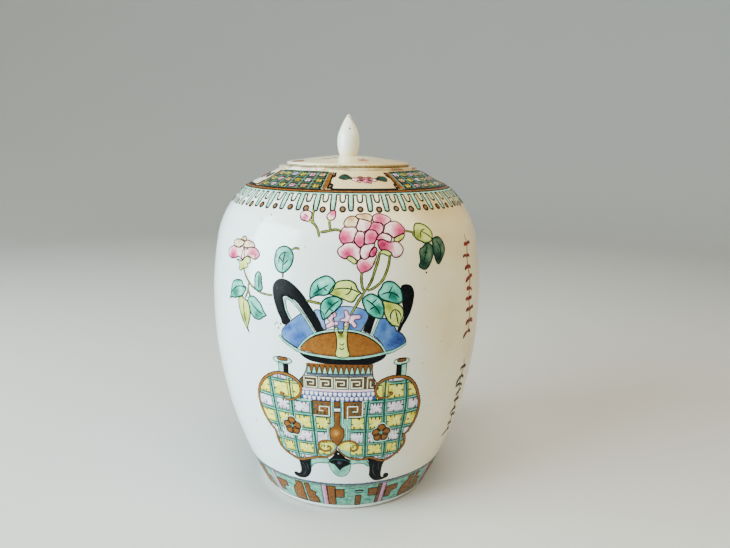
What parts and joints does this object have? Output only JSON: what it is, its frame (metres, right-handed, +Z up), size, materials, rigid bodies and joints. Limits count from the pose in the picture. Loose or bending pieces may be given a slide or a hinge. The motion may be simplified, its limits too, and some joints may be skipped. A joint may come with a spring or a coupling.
{
  "type": "ginger jar",
  "caption": "Covered porcelain ginger jar: tapering body on a foot ring, round shoulder, low collared mouth, and a loose domed lid with a locating flange and a bud finial.",
  "frame": {"origin": "centre of the foot ring's resting face", "axes": "+Z up along the jar's axis of revolution, -Y towards the painted front, +X to the right seen from the front"},
  "size_m": [0.2374, 0.2374, 0.33],
  "materials": {
    "glazed_porcelain": "glossy clear glaze over white porcelain, cool white with a warm cream cast and fine iron specks",
    "bare_porcelain": "unglazed biscuit porcelain, matt, slightly gritty",
    "enamel_pink": "overglaze enamel, pink shading to white, slightly raised, glossy",
    "enamel_green": "overglaze enamel, translucent greens from mint to dark teal, glossy",
    "enamel_orange": "overglaze iron-red and orange-brown enamel, thin, satin",
    "enamel_yellow": "overglaze enamel, yellow to yellow-green, glossy",
    "enamel_blue": "overglaze enamel, blue to lilac, slightly raised, glossy",
    "enamel_dark": "overglaze black and dark brown line enamel, satin"
  },
  "bodies": {
    "jar": {"foot_ring": "bare_porcelain", "lower_body": "glazed_porcelain", "upper_body": "glazed_porcelain", "mouth_collar": "glazed_porcelain"},
    "lid": {"lid_cap": "glazed_porcelain", "lid_flange": "bare_porcelain", "lid_finial": "glazed_porcelain"}
  },
  "joints": [
    {"name": "lid_lift", "type": "slide", "parent": "jar", "child": "lid", "axis": [0, 0, 1], "range_m": [0, 0.1]}
  ]
}
